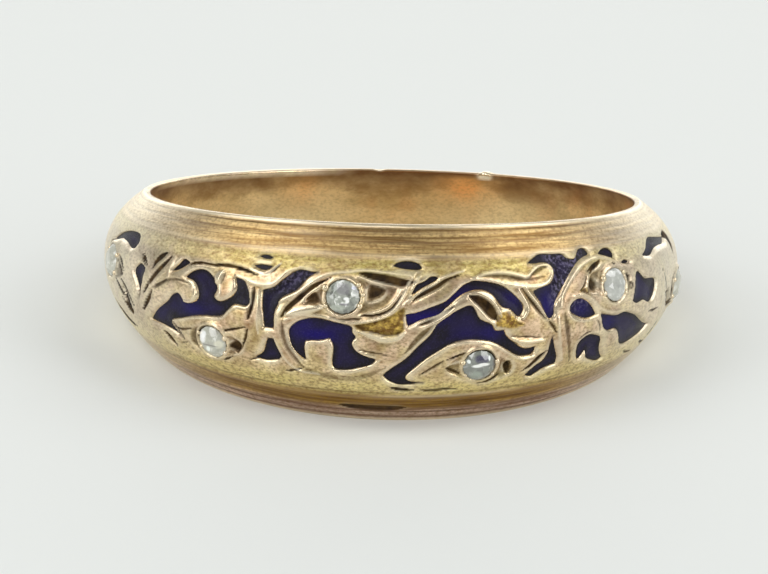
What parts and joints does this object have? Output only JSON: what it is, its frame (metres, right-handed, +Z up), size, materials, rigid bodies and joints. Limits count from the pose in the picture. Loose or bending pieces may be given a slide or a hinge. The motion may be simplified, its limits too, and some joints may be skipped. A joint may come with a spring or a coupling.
{
  "type": "gold finger ring",
  "caption": "Domed, tapered gold band ring with blue enamel scrollwork and small round diamonds set in leaf buds.",
  "frame": {"origin": "middle of the finger hole, on the plane that the lower rim rests on", "axes": "+Z up, the wide decorated front faces -Y, +X to the wearer's right as seen from the front"},
  "size_m": [0.0201, 0.0199, 0.0067],
  "materials": {
    "gold": "worn yellow-rose gold, satin with bright-cut edges",
    "enamel": "glossy cobalt enamel",
    "diamond": "polished facets"
  },
  "bodies": {
    "root": {"gold_band": "gold", "enamel": "enamel", "diamond_1": "diamond", "diamond_2": "diamond", "diamond_3": "diamond", "diamond_4": "diamond", "diamond_5": "diamond", "diamond_6": "diamond"}
  },
  "joints": []
}
